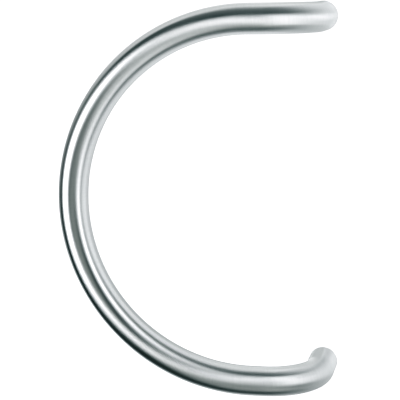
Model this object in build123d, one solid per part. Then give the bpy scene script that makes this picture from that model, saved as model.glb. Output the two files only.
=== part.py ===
from build123d import *
from math import radians, tan
import os

# Door pull handle: one round tube bent to a C, with a threaded insert in each end.
# Sizes are in millimetres. +Z is up, the door's face is the plane Y = 0, and the handle
# stands out from it towards -Y. The origin is on the door's face, midway between the two
# fixing holes. The C bulges to -X and opens to +X.

# Fixing
hole_centres = 300.0

# Tube
tube_diameter = 25.0
tube_wall = 1.5
tube_edge_break = 0.3

# Centreline of the tube
bend_radius = 42.5
lead_in = 10.0
leg_past_insert = 5.0

# Insert for an M8 stud, bonded into each end of the tube and flush with it
insert_length = 20.0
insert_fit_gap = 0.05
insert_back_chamfer = 1.0
thread_hole_diameter = 6.8
countersink_diameter = 8.4
countersink_angle = 120.0

# Sizes that follow from these
tube_radius = tube_diameter / 2
tube_bore_radius = tube_radius - tube_wall
insert_radius = tube_bore_radius - insert_fit_gap
thread_hole_radius = thread_hole_diameter / 2
countersink_radius = countersink_diameter / 2
countersink_depth = (countersink_radius - thread_hole_radius) / tan(radians(countersink_angle / 2))
bow_radius = hole_centres / 2
leg_length = insert_length + leg_past_insert
bow_plane_y = -(leg_length + bend_radius)
bow_centre_x = -(bend_radius + lead_in)
upper_leg_z = hole_centres / 2
lower_leg_z = -hole_centres / 2


def bow_bar(radius):
    """The half circle of the bow, as a solid bar of this radius, from its top end round to its bottom end."""
    top_end = Plane((bow_centre_x, bow_plane_y, upper_leg_z), z_dir=(-1, 0, 0))
    bow_axis = Axis((bow_centre_x, bow_plane_y, 0), (0, -1, 0))
    return revolve(top_end * Circle(radius), bow_axis, 180)


def end_bar(radius, leg_z):
    """The lead-in, the bend towards the door and the straight leg at one height, as a solid bar."""
    bow_end = Plane((bow_centre_x, bow_plane_y, leg_z), z_dir=(1, 0, 0))
    bend_start = Plane((-bend_radius, bow_plane_y, leg_z), z_dir=(1, 0, 0))
    bend_axis = Axis((-bend_radius, -leg_length, leg_z), (0, 0, 1))
    leg_start = Plane((0, -leg_length, leg_z), z_dir=(0, 1, 0))
    lead = extrude(bow_end * Circle(radius), lead_in)
    bend = revolve(bend_start * Circle(radius), bend_axis, 90)
    leg = extrude(leg_start * Circle(radius), leg_length)
    return lead + bend + leg


def whole_bar(radius):
    """A solid bar of this radius along the whole centreline, from door to door."""
    return bow_bar(radius) + end_bar(radius, upper_leg_z) + end_bar(radius, lower_leg_z)


def bow_tube():
    """The bent tube, open at both ends, with its cut edges lightly broken."""
    tube = whole_bar(tube_radius) - whole_bar(tube_bore_radius)
    cut_edges = tube.edges().group_by(Axis.Y)[-1]
    return chamfer(cut_edges, tube_edge_break)


def end_insert(leg_z):
    """A turned plug for one end of the tube: threaded right through, with a countersink at both
    mouths of the thread and a chamfer round the back rim that leads it into the tube."""
    profile = [
        (countersink_radius, 0),
        (insert_radius, 0),
        (insert_radius, -insert_length + insert_back_chamfer),
        (insert_radius - insert_back_chamfer, -insert_length),
        (countersink_radius, -insert_length),
        (thread_hole_radius, -insert_length + countersink_depth),
        (thread_hole_radius, -countersink_depth),
    ]
    outline = Polyline([(x, y, leg_z) for x, y in profile], close=True)
    return revolve(make_face(outline), Axis((0, 0, leg_z), (0, 1, 0)), 360)


pieces = {
    "bow_tube": bow_tube(),
    "upper_end_insert": end_insert(upper_leg_z),
    "lower_end_insert": end_insert(lower_leg_z),
}

os.makedirs("parts", exist_ok=True)
for name, piece in pieces.items():
    export_step(piece, f"parts/{name}.step")
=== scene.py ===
import math

import bpy
from mathutils import Matrix, Vector


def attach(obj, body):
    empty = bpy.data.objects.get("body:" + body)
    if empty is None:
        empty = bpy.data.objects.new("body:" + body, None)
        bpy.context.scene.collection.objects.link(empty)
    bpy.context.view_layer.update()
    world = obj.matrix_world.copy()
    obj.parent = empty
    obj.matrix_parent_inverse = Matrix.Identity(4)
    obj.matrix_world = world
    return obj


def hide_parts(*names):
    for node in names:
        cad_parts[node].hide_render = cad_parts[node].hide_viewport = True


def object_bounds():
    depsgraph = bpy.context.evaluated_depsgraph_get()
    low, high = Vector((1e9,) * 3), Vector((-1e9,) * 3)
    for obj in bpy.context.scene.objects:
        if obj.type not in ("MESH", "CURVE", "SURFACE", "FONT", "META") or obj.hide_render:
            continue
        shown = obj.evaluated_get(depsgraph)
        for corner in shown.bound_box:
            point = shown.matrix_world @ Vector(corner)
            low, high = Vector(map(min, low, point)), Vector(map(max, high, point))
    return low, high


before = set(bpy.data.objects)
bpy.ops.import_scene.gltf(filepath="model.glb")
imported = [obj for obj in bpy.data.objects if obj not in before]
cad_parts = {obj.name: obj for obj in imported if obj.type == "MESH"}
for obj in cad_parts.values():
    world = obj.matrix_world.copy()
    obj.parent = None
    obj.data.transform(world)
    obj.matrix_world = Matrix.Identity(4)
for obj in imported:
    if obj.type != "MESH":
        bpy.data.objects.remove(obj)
cad_low, cad_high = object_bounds()
part_centre = (cad_low + cad_high) / 2

# Units

mm = 0.001

# The bent tube, with the sizes that the frame has

hole_centres = 300.0 * mm
tube_radius = 12.5 * mm
tube_wall = 1.5 * mm
tube_edge_break = 0.3 * mm
bend_radius = 42.5 * mm
lead_in = 10.0 * mm
leg_length = 25.0 * mm
leg_z = hole_centres / 2
bow_radius = hole_centres / 2
bow_plane_y = -leg_length - bend_radius
bow_centre_x = -bend_radius - lead_in
arm_length = leg_length + bend_radius * math.pi / 2 + lead_in
tube_length = 2 * arm_length + math.pi * bow_radius

# The turned inserts and their M8 thread

insert_radius = 10.95 * mm
insert_length = 20.0 * mm
insert_back_chamfer = 1.0 * mm
insert_front_break = 0.15 * mm
thread_pitch = 1.25 * mm
thread_hole_radius = 3.4 * mm
thread_root_radius = 4.0 * mm
thread_root_flat = thread_pitch / 8
thread_flank = (thread_root_radius - thread_hole_radius) * math.tan(math.radians(30))
countersink_radius = 4.2 * mm
countersink_tip_depth = countersink_radius / math.tan(math.radians(60))

# How finely the pieces are meshed

tube_sides = 128
bow_steps = 144
bend_steps = 40
leg_steps = 5
lead_steps = 2
insert_sides = 96
thread_sides = 48
thread_spare_turns = 2
edge_break_steps = 3
tube_crease_angle = 35
insert_crease_angle = 30
tiny = 0.001 * mm

# Steps that shape a mesh


def deselect_all():
    """Lets go of everything, the CAD nodes included."""
    if bpy.context.object and bpy.context.object.mode != "OBJECT":
        bpy.ops.object.mode_set(mode="OBJECT")
    bpy.ops.object.select_all(action="DESELECT")


def take(piece):
    """Makes one piece the selected and active object."""
    deselect_all()
    piece.select_set(True)
    bpy.context.view_layer.objects.active = piece


def name_new_piece(name):
    """Names the object that was just added, and its mesh."""
    piece = bpy.context.object
    piece.name = name
    piece.data.name = name
    return piece


def select_edges(piece, wanted):
    """In edit mode, selects the edges for which wanted(end, other_end) is true."""
    bpy.ops.mesh.select_all(action="DESELECT")
    bpy.ops.mesh.select_mode(type="EDGE")
    bpy.ops.object.mode_set(mode="OBJECT")
    points = piece.data.vertices
    for edge in piece.data.edges:
        end, other_end = (points[i].co for i in edge.vertices)
        edge.select = wanted(end, other_end)
    bpy.ops.object.mode_set(mode="EDIT")


def extrude_by(step, count=1):
    """Pulls the selected edges out by one step, count times."""
    for _ in range(count):
        bpy.ops.mesh.extrude_region_move(TRANSFORM_OT_translate={"value": step})


def apply_modifier(piece, kind, **settings):
    """Adds one modifier, sets it and applies it."""
    take(piece)
    modifier = piece.modifiers.new(kind.lower(), kind)
    for setting, value in settings.items():
        setattr(modifier, setting, value)
    bpy.ops.object.modifier_apply(modifier=modifier.name)


def settle_place(piece):
    """Puts the piece's place, turn and scale into its mesh."""
    take(piece)
    bpy.ops.object.transform_apply(location=True, rotation=True, scale=True)


def close_shell(piece):
    """Merges doubles and turns all faces outwards."""
    take(piece)
    bpy.ops.object.mode_set(mode="EDIT")
    bpy.ops.mesh.select_all(action="SELECT")
    bpy.ops.mesh.remove_doubles(threshold=tiny)
    bpy.ops.mesh.normals_make_consistent(inside=False)
    bpy.ops.object.mode_set(mode="OBJECT")


def smooth_shading(piece, angle):
    """Shades the piece smooth, with an edge wherever it turns by more than the angle."""
    take(piece)
    bpy.ops.object.shade_smooth_by_angle(angle=math.radians(angle))


# How the tool marks lie on a piece


def unbend(point):
    """Where a point of the tube lies on the straight bar: to the front, to the bow's outside, along."""
    x, y, z = point.x, point.y, abs(point.z)
    if y > -leg_length:
        front, outside, along = x, z - leg_z, -y
    elif x > -bend_radius:
        turned = math.atan2(-leg_length - y, x + bend_radius)
        front = math.hypot(x + bend_radius, y + leg_length) - bend_radius
        outside = z - leg_z
        along = leg_length + bend_radius * turned
    elif x > bow_centre_x:
        front, outside, along = bow_plane_y - y, z - leg_z, arm_length - (x - bow_centre_x)
    else:
        turned = math.pi / 2 - math.atan2(z, bow_centre_x - x)
        front = bow_plane_y - y
        outside = math.hypot(x - bow_centre_x, z) - bow_radius
        along = arm_length + bow_radius * turned
    return front, outside, along if point.z > 0 else tube_length - along


def grain_map(piece, straighten):
    """Lays a UV map whose U runs with the tool marks, round the piece, and a seamless straight position.

    The way along goes on over the end faces, outwards from their middle, so the marks are rings there.
    """
    mesh = piece.data
    layer = mesh.uv_layers.new(name="grain")
    straight = mesh.attributes.new("straight", "FLOAT_VECTOR", "POINT")
    places = []
    for vertex in mesh.vertices:
        front, outside, along = straighten(vertex.co)
        above_skin = math.hypot(front, outside) - tube_radius
        along += above_skin if along < tube_length / 2 else -above_skin
        places.append((front, outside, along))
        straight.data[vertex.index].vector = places[-1]
    for face in mesh.polygons:
        rounds = [math.atan2(places[i][1], places[i][0]) for i in face.vertices]
        wraps = max(rounds) - min(rounds) > math.pi
        for loop, corner, turn in zip(face.loop_indices, face.vertices, rounds):
            turn += math.tau if wraps and turn < 0 else 0
            layer.data[loop].uv = (turn * tube_radius, places[corner][2])


# The pieces


def bow_tube():
    """The bent tube: one round section drawn from cut end to cut end, then given its wall."""
    deselect_all()
    bpy.ops.mesh.primitive_circle_add(
        vertices=tube_sides, radius=tube_radius, location=(0, 0, leg_z), rotation=(math.pi / 2, 0, 0)
    )
    tube = name_new_piece("satin_bow_tube")
    settle_place(tube)
    leg_step = Vector((0, -leg_length / leg_steps, 0))
    lead_step = Vector((-lead_in / lead_steps, 0, 0))
    bpy.ops.object.mode_set(mode="EDIT")
    bpy.ops.mesh.select_all(action="SELECT")
    extrude_by(leg_step, leg_steps)
    bend_centre = Vector((-bend_radius, -leg_length, leg_z))
    bpy.ops.mesh.spin(steps=bend_steps, angle=math.pi / 2, center=bend_centre, axis=(0, 0, 1))
    extrude_by(lead_step, lead_steps)
    bow_centre = Vector((bow_centre_x, bow_plane_y, 0))
    bpy.ops.mesh.spin(steps=bow_steps, angle=math.pi, center=bow_centre, axis=(0, 1, 0))
    extrude_by(-lead_step, lead_steps)
    bend_centre.z = -leg_z
    bpy.ops.mesh.spin(steps=bend_steps, angle=-math.pi / 2, center=bend_centre, axis=(0, 0, 1))
    extrude_by(-leg_step, leg_steps)
    close_shell(tube)
    apply_modifier(tube, "SOLIDIFY", thickness=tube_wall, offset=-1, use_even_offset=True, use_rim=True)
    bpy.ops.object.mode_set(mode="EDIT")
    select_edges(tube, lambda end, other: max(abs(end.y), abs(other.y)) < tiny and same_ring(end, other))
    bpy.ops.mesh.bevel(offset=tube_edge_break, segments=edge_break_steps, affect="EDGES")
    bpy.ops.object.mode_set(mode="OBJECT")
    grain_map(tube, unbend)
    smooth_shading(tube, tube_crease_angle)
    return tube


def from_axis(point):
    """How far a point lies from the axis of the nearer leg."""
    return math.hypot(point.x, abs(point.z) - leg_z)


def same_ring(end, other_end):
    """Whether both ends of an edge lie as far from the axis of the leg."""
    return abs(from_axis(end) - from_axis(other_end)) < tiny


def draw_section(name, points):
    """A line drawn from point to point, as half a section to be turned."""
    deselect_all()
    bpy.ops.mesh.primitive_plane_add(size=mm, location=points[0])
    section = name_new_piece(name)
    settle_place(section)
    bpy.ops.object.mode_set(mode="EDIT")
    bpy.ops.mesh.select_mode(type="VERT")
    bpy.ops.mesh.select_all(action="SELECT")
    bpy.ops.mesh.merge(type="CENTER")
    for start, end in zip(points, points[1:]):
        extrude_by(end - start)
    return section


def m8_tap(axis_z):
    """A long tap, closed to a point at both ends, which leaves the thread when it is cut from a blank."""
    crest = thread_pitch - thread_root_flat - 2 * thread_flank
    steps = ((0, crest), (thread_root_radius - thread_hole_radius, thread_flank), (0, thread_root_flat))
    point = Vector((thread_hole_radius, 0, 0))
    points = [point.copy()]
    for outwards, onwards in steps:
        point += Vector((outwards, onwards, 0))
        points.append(point.copy())
    points.append(Vector((thread_hole_radius, thread_pitch, 0)))
    tap = draw_section("tap", points)
    bpy.ops.object.mode_set(mode="OBJECT")
    turns = math.ceil(insert_length / thread_pitch) + 2 * thread_spare_turns
    apply_modifier(
        tap, "SCREW", axis="Y", screw_offset=thread_pitch, iterations=turns, steps=thread_sides,
        render_steps=thread_sides, use_merge_vertices=True, merge_threshold=tiny,
    )
    tap.location = (0, -insert_length - thread_spare_turns * thread_pitch, axis_z)
    tap.rotation_euler.y = math.pi / insert_sides
    settle_place(tap)
    close_shell(tap)
    bpy.ops.object.mode_set(mode="EDIT")
    bpy.ops.mesh.select_mode(type="EDGE")
    bpy.ops.mesh.select_all(action="DESELECT")
    bpy.ops.mesh.select_non_manifold()
    extrude_by(Vector((0, 0, 0)))
    bpy.ops.mesh.merge(type="COLLAPSE")
    bpy.ops.object.mode_set(mode="OBJECT")
    close_shell(tap)
    return tap


def turned_insert(name, axis_z):
    """A plug turned from bar, countersunk and tapped M8 right through.

    The blank's countersink runs down to a point, and the tap takes its middle away.
    """
    section = (
        (0, -insert_length),
        (insert_radius - insert_back_chamfer, -insert_length),
        (insert_radius, -insert_length + insert_back_chamfer),
        (insert_radius, -insert_front_break),
        (insert_radius - insert_front_break, 0),
        (countersink_radius, 0),
        (0, -countersink_tip_depth),
    )
    insert = draw_section(name, [Vector((radius, y, axis_z)) for radius, y in section])
    bpy.ops.mesh.select_all(action="SELECT")
    bpy.ops.mesh.spin(steps=insert_sides, angle=math.tau, center=(0, 0, axis_z), axis=(0, 1, 0))
    bpy.ops.object.mode_set(mode="OBJECT")
    close_shell(insert)
    tap = m8_tap(axis_z)
    apply_modifier(insert, "BOOLEAN", operation="DIFFERENCE", solver="EXACT", object=tap)
    bpy.data.objects.remove(tap)
    close_shell(insert)
    grain_map(insert, lambda point: (point.x, point.z - axis_z, -point.y))
    smooth_shading(insert, insert_crease_angle)
    return insert


# Camera, at the photograph's viewing angle, found by fitting the tube to its outline

camera_place = Vector((133.6, -1086.7, 177.8)) * mm
camera_turn = math.radians(-12.564)
camera_tilt = math.radians(-9.536)
camera_roll = math.radians(-0.918)
camera_lens = 115.67
camera_sensor = 36.0
camera_sees_from = 0.05


def add_camera():
    """The camera, with no shift and no depth of field."""
    data = bpy.data.cameras.new("photo_camera")
    data.lens = camera_lens
    data.sensor_width = camera_sensor
    data.clip_start = camera_sees_from
    camera = bpy.data.objects.new("photo_camera", data)
    bpy.context.scene.collection.objects.link(camera)
    turn = Matrix.Rotation(-camera_turn, 4, "Z")
    tilt = Matrix.Rotation(math.pi / 2 + camera_tilt, 4, "X")
    roll = Matrix.Rotation(camera_roll, 4, "Z")
    camera.matrix_world = Matrix.Translation(camera_place) @ turn @ tilt @ roll
    bpy.context.scene.camera = camera


# Studio light: the tints of the soft boxes, and the world with its sweep

cool = (0.98, 0.983, 1.0)
warm = (1.0, 0.995, 0.97)
room_light = 0.036
sweep_light = 0.38
sweep_rise = 0.86
sweep_azimuth, sweep_elevation = 217.2, 44.2
sweep_start, sweep_full = 0.70, 0.89
white_behind = 1.1


def direction(azimuth, elevation):
    """A unit vector. Azimuth 0 is the front, along -Y, and 90 is +X; elevation is above the horizon."""
    a, e = math.radians(azimuth), math.radians(elevation)
    return Vector((math.sin(a) * math.cos(e), -math.cos(a) * math.cos(e), math.sin(e)))


def math_node(nodes, links, operation, *inputs):
    """A math node fed by numbers and sockets. Returns its output."""
    node = nodes.new("ShaderNodeMath")
    node.operation = operation
    for place, value in enumerate(inputs):
        if isinstance(value, (int, float)):
            node.inputs[place].default_value = value
        else:
            links.new(value, node.inputs[place])
    return node.outputs["Value"]


def ramp_node(nodes, links, value, start, end, low, high, smooth=True):
    """Maps a value from start..end to low..high, eased at both ends. Returns its output."""
    node = nodes.new("ShaderNodeMapRange")
    node.interpolation_type = "SMOOTHSTEP" if smooth else "LINEAR"
    for name, number in zip(("From Min", "From Max", "To Min", "To Max"), (start, end, low, high)):
        node.inputs[name].default_value = number
    links.new(value, node.inputs["Value"])
    return node.outputs["Result"]


def soft_box(name, tint, azimuth, elevation, distance, width, height, roll, fading, foot, head):
    """A rectangular soft box that faces the part.

    Its light goes from the foot's radiance to the head's, and fades out over the outer share of its
    half-width. Angles are in degrees, and lengths in metres.
    """
    data = bpy.data.lights.new(name, "AREA")
    data.shape = "RECTANGLE"
    data.size = width
    data.size_y = height
    data.color = tint
    data.energy = math.pi * width * height
    data.use_nodes = True
    nodes, links = data.node_tree.nodes, data.node_tree.links
    aim = direction(azimuth, elevation)
    middle = part_centre + aim * distance
    spot = nodes.new("ShaderNodeNewGeometry")
    level = nodes.new("ShaderNodeSeparateXYZ")
    links.new(spot.outputs["Position"], level.inputs["Vector"])
    bottom, top = middle.z - height / 2, middle.z + height / 2
    strength = ramp_node(nodes, links, level.outputs["Z"], bottom, top, foot, head, smooth=False)
    split = nodes.new("ShaderNodeSeparateXYZ")
    links.new(spot.outputs["Parametric"], split.inputs["Vector"])
    fade_length = fading * min(width, height) / 2
    for side, length in (("X", width), ("Y", height)):
        offset = math_node(nodes, links, "SUBTRACT", split.outputs[side], 0.5)
        from_middle = math_node(nodes, links, "ABSOLUTE", offset)
        fade = ramp_node(nodes, links, from_middle, 0.5 - fade_length / length, 0.5, 1, 0)
        strength = math_node(nodes, links, "MULTIPLY", strength, fade)
    links.new(strength, nodes["Emission"].inputs["Strength"])
    light = bpy.data.objects.new(name, data)
    bpy.context.scene.collection.objects.link(light)
    facing = aim.to_track_quat("Z", "Y").to_matrix().to_4x4()
    turn = Matrix.Rotation(math.radians(roll), 4, "Z")
    light.matrix_world = Matrix.Translation(middle) @ facing @ turn
    light.visible_camera = False


def background(nodes, links, strength):
    """White light from the world at a strength, a number or a socket. Returns its output."""
    node = nodes.new("ShaderNodeBackground")
    node.inputs["Color"].default_value = (1, 1, 1, 1)
    if isinstance(strength, (int, float)):
        node.inputs["Strength"].default_value = strength
    else:
        links.new(strength, node.inputs["Strength"])
    return node.outputs["Background"]


def mixed_light(nodes, links, share, first, second):
    """Goes from the first world light to the second by the share. Returns its output."""
    node = nodes.new("ShaderNodeMixShader")
    for place, value in enumerate((share, first, second)):
        links.new(value, node.inputs[place])
    return node.outputs["Shader"]


def studio():
    """A white sweep behind and above, a dark room in front, and soft boxes close on both sides."""
    soft_box(
        "left_box", cool, azimuth=-53.4, elevation=-3.3, distance=0.735,
        width=0.90, height=1.0, roll=8, fading=1.0, foot=0.3, head=12.5,
    )
    soft_box(
        "right_box", cool, azimuth=43.6, elevation=3.8, distance=0.481,
        width=0.514, height=0.942, roll=16, fading=1.0, foot=2.6, head=3.95,
    )
    soft_box(
        "low_reflector", warm, azimuth=3.9, elevation=-31.6, distance=2.2,
        width=3.25, height=5.0, roll=29, fading=1.0, foot=1.45, head=0,
    )
    soft_box(
        "side_reflector", cool, azimuth=139.7, elevation=-33.0, distance=0.45,
        width=1.12, height=5.9, roll=64.6, fading=0.77, foot=0, head=2.35,
    )
    soft_box(
        "end_reflector", cool, azimuth=112.3, elevation=35.1, distance=0.45,
        width=0.737, height=0.543, roll=59.7, fading=0.55, foot=0.5, head=2.05,
    )
    soft_box(
        "top_reflector", cool, azimuth=-27.3, elevation=77.7, distance=0.45,
        width=0.30, height=0.515, roll=46.4, fading=0.3, foot=0.18, head=0.18,
    )
    soft_box(
        "back_reflector", cool, azimuth=191.7, elevation=10.3, distance=1.3,
        width=5.0, height=1.68, roll=-26.6, fading=0.5, foot=0.35, head=0.52,
    )
    world = bpy.data.worlds.new("studio")
    bpy.context.scene.world = world
    world.use_nodes = True
    nodes, links = world.node_tree.nodes, world.node_tree.links
    nodes.clear()
    looking = nodes.new("ShaderNodeTexCoord").outputs["Generated"]
    split = nodes.new("ShaderNodeSeparateXYZ")
    links.new(looking, split.inputs["Vector"])
    facing = nodes.new("ShaderNodeVectorMath")
    facing.operation = "DOT_PRODUCT"
    facing.inputs[1].default_value = direction(sweep_azimuth, sweep_elevation)
    links.new(looking, facing.inputs[0])
    share = ramp_node(nodes, links, facing.outputs["Value"], sweep_start, sweep_full, 0, 1)
    upright = math_node(nodes, links, "MULTIPLY", split.outputs["Z"], split.outputs["Z"])
    room_level = math_node(nodes, links, "MULTIPLY", upright, room_light)
    sweep_level = math_node(nodes, links, "MULTIPLY_ADD", split.outputs["Z"], sweep_rise, sweep_light)
    room, sweep = background(nodes, links, room_level), background(nodes, links, sweep_level)
    around = mixed_light(nodes, links, share, room, sweep)
    seen = nodes.new("ShaderNodeLightPath").outputs["Is Camera Ray"]
    shown = mixed_light(nodes, links, seen, around, background(nodes, links, white_behind))
    output = nodes.new("ShaderNodeOutputWorld")
    links.new(shown, output.inputs["Surface"])


# Finishes

quarter_turn = 0.25
satin_gloss, satin_haze, satin_mark_gloss = 0.345, 0.01, 0.035
satin_dark, satin_light = (0.56, 0.56, 0.56), (0.68, 0.68, 0.68)
satin_mark_depth = 0.004 * mm
turned_gloss_low, turned_gloss_high = 0.26, 0.36
turned_dark, turned_light = (0.50, 0.50, 0.49), (0.60, 0.60, 0.59)
turned_feed = 0.16 * mm
turned_mark_depth = 0.006 * mm

# What fine marks and broad ones range over, before they are stretched to a gloss or a colour

noise_low, noise_high = 0.25, 0.75
broad_low, broad_high = 0.3, 0.7


def new_material(name):
    """A material with only its shader and output. Returns it, the shader, its nodes and its links."""
    material = bpy.data.materials.new(name)
    material.use_nodes = True
    nodes = material.node_tree.nodes
    return material, nodes["Principled BSDF"], nodes, material.node_tree.links


def grain_noise(nodes, links, place, length, width, lean, detail):
    """Fine marks that run round the piece, of a length and width in metres, at a lean in degrees."""
    mapping = nodes.new("ShaderNodeMapping")
    mapping.vector_type = "TEXTURE"
    mapping.inputs["Rotation"].default_value = (math.radians(lean), 0, 0)
    mapping.inputs["Scale"].default_value = (length, length, width)
    links.new(place, mapping.inputs["Vector"])
    noise = nodes.new("ShaderNodeTexNoise")
    noise.inputs["Scale"].default_value = 1
    noise.inputs["Detail"].default_value = detail
    links.new(mapping.outputs["Vector"], noise.inputs["Vector"])
    return noise.outputs["Fac"]


def grain_tangent(nodes, links, shader):
    """Turns the shader's stretched gloss across the tool marks."""
    tangent = nodes.new("ShaderNodeTangent")
    tangent.direction_type = "UV_MAP"
    tangent.uv_map = "grain"
    links.new(tangent.outputs["Tangent"], shader.inputs["Tangent"])
    shader.inputs["Anisotropic Rotation"].default_value = quarter_turn


def straight_place(nodes):
    """Each point's place on the piece when that is straight, as its attribute holds it."""
    attribute = nodes.new("ShaderNodeAttribute")
    attribute.attribute_name = "straight"
    return attribute.outputs["Vector"]


def steel_colour(nodes, links, shader, value, dark, light):
    """Lets the value lead the colour from dark to light."""
    ramp = nodes.new("ShaderNodeValToRGB")
    first, last = ramp.color_ramp.elements
    first.position, last.position = noise_low, noise_high
    first.color, last.color = (*dark, 1), (*light, 1)
    links.new(value, ramp.inputs["Fac"])
    links.new(ramp.outputs["Color"], shader.inputs["Base Color"])


def relief(nodes, links, shader, height, depth):
    """Raises the surface by the height, a value from 0 to 1, times a depth in metres."""
    bump = nodes.new("ShaderNodeBump")
    bump.inputs["Strength"].default_value = 1
    bump.inputs["Distance"].default_value = depth
    links.new(height, bump.inputs["Height"])
    links.new(bump.outputs["Normal"], shader.inputs["Normal"])


def satin_steel():
    """Stainless tube, ground round its girth with a fine belt that crosses its own marks."""
    material, shader, nodes, links = new_material("satin_stainless")
    shader.inputs["Metallic"].default_value = 1
    shader.inputs["Anisotropic"].default_value = 1
    grain_tangent(nodes, links, shader)
    place = straight_place(nodes)
    forward = grain_noise(nodes, links, place, 7 * mm, 0.16 * mm, 7, 3)
    backward = grain_noise(nodes, links, place, 10 * mm, 0.22 * mm, -9, 3)
    half_backward = math_node(nodes, links, "MULTIPLY", backward, 0.5)
    marks = math_node(nodes, links, "MULTIPLY_ADD", forward, 0.5, half_backward)
    passes = grain_noise(nodes, links, place, 40 * mm, 1.6 * mm, 5, 1)
    haze = grain_noise(nodes, links, place, 25 * mm, 60 * mm, 0, 2)
    fine_gloss = ramp_node(
        nodes, links, marks, noise_low, noise_high, -satin_mark_gloss, satin_mark_gloss, smooth=False
    )
    broad_gloss = ramp_node(
        nodes, links, haze, broad_low, broad_high, satin_gloss - satin_haze, satin_gloss + satin_haze
    )
    links.new(math_node(nodes, links, "ADD", fine_gloss, broad_gloss), shader.inputs["Roughness"])
    some_passes = math_node(nodes, links, "MULTIPLY", passes, 0.2)
    tone = math_node(nodes, links, "MULTIPLY_ADD", marks, 0.8, some_passes)
    steel_colour(nodes, links, shader, tone, satin_dark, satin_light)
    relief(nodes, links, shader, marks, satin_mark_depth)
    return material


def turned_steel():
    """Stainless bar, faced, countersunk and tapped on a lathe, with the rings of the tool's feed."""
    material, shader, nodes, links = new_material("turned_stainless")
    shader.inputs["Metallic"].default_value = 1
    shader.inputs["Anisotropic"].default_value = 0.8
    grain_tangent(nodes, links, shader)
    place = straight_place(nodes)
    split = nodes.new("ShaderNodeSeparateXYZ")
    links.new(place, split.inputs["Vector"])
    phase = math_node(nodes, links, "MULTIPLY", split.outputs["Z"], math.tau / turned_feed)
    wave = math_node(nodes, links, "SINE", phase)
    rings = ramp_node(nodes, links, wave, -1, 1, 0, 1, smooth=False)
    chatter = grain_noise(nodes, links, place, 12 * mm, 0.3 * mm, 0, 3)
    gloss = ramp_node(
        nodes, links, chatter, broad_low, broad_high, turned_gloss_low, turned_gloss_high
    )
    links.new(gloss, shader.inputs["Roughness"])
    steel_colour(nodes, links, shader, chatter, turned_dark, turned_light)
    half_chatter = math_node(nodes, links, "MULTIPLY", chatter, 0.5)
    height = math_node(nodes, links, "MULTIPLY_ADD", rings, 0.5, half_chatter)
    relief(nodes, links, shader, height, turned_mark_depth)
    return material


def dress(piece, material):
    """Gives the piece one material."""
    piece.data.materials.clear()
    piece.data.materials.append(material)


# The floor

floor_size = 30
floor_depth = 1

# Red light, and how much of it is printed

red_as_printed = ((0.03, 0.018), (0.1, 0.075), (0.25, 0.218), (0.5, 0.471), (0.8, 0.78))


def floor():
    """A plain pale floor, a metre below the handle, which neither lights it nor shows in its gloss."""
    deselect_all()
    bpy.ops.mesh.primitive_plane_add(size=floor_size, location=(0, 0, -floor_depth))
    plane = name_new_piece("floor")
    material, shader = new_material("pale_floor")[:2]
    shader.inputs["Base Color"].default_value = (0.9, 0.9, 0.9, 1)
    shader.inputs["Emission Color"].default_value = (1, 1, 1, 1)
    shader.inputs["Emission Strength"].default_value = 1
    dress(plane, material)
    plane.visible_glossy = False
    plane.visible_diffuse = False


def develop():
    """Prints the light as it is, only with a little less red below white, as the photograph has it."""
    view = bpy.context.scene.view_settings
    view.view_transform = "Standard"
    view.use_curve_mapping = True
    red = view.curve_mapping.curves[0]
    for light, printed in red_as_printed:
        red.points.new(light, printed)
    view.curve_mapping.update()


# The handle, dressed

tube = bow_tube()
dress(tube, satin_steel())
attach(tube, "root")
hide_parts("bow_tube")

turned = turned_steel()
for end, axis_z in (("upper", leg_z), ("lower", -leg_z)):
    insert = turned_insert(f"turned_{end}_insert", axis_z)
    dress(insert, turned)
    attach(insert, "root")
    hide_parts(f"{end}_end_insert")

add_camera()
studio()
floor()
develop()
